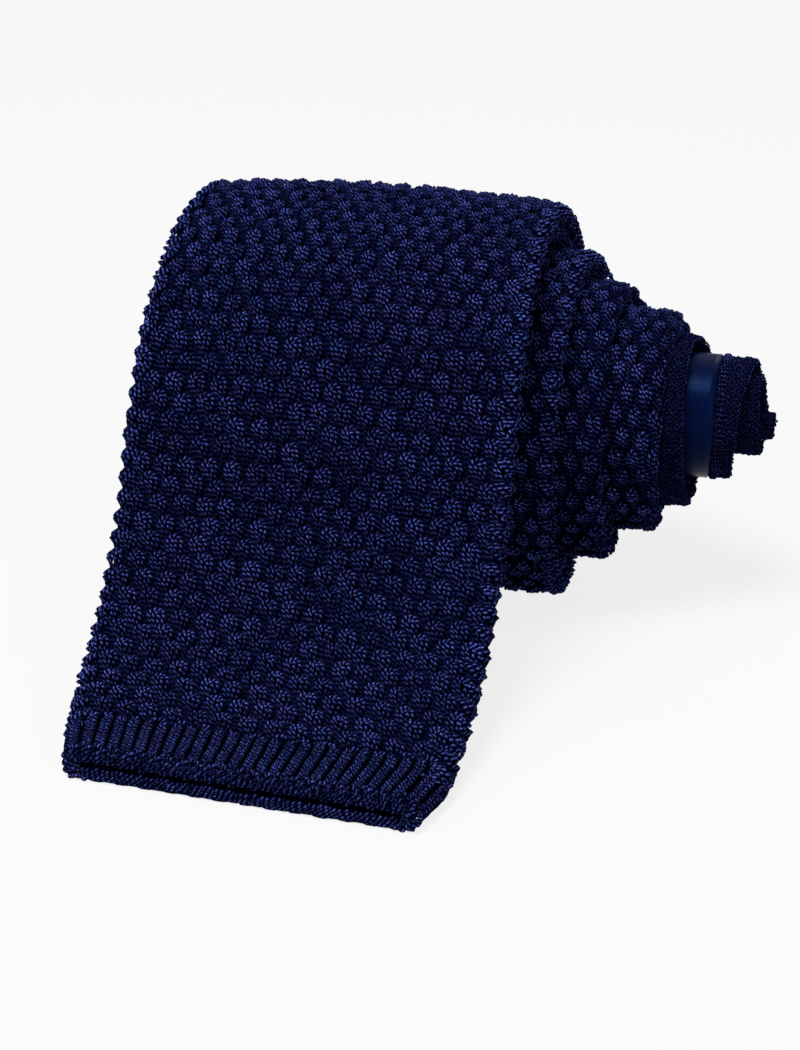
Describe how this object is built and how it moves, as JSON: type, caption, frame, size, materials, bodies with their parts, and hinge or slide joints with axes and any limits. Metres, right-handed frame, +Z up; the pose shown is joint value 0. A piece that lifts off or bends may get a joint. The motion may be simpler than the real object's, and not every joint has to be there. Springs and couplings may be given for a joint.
{
  "type": "knit tie",
  "caption": "Square-ended silk knit tie, rolled up from its neck and lying on its side, the wide end draped down in front and the middle of the roll pushed out.",
  "frame": {"origin": "middle of the tie's outline on the surface it rests on", "axes": "+Z up, +X along the roll to the pushed-out end, -Y towards the open wide end"},
  "size_m": [0.0948, 0.1206, 0.0636],
  "materials": {
    "ribbed_knit": "openwork silk knit in raised ribs, dark navy with a soft violet-blue sheen",
    "fine_knit": "fine close silk knit, dark navy with a soft sheen",
    "satin": "smooth satin ribbon, navy with a bright sheen"
  },
  "bodies": {
    "root": {"wide_blade": "ribbed_knit", "narrow_tail": "ribbed_knit", "neck_band": "fine_knit", "neck_ribbon": "satin"}
  },
  "joints": []
}
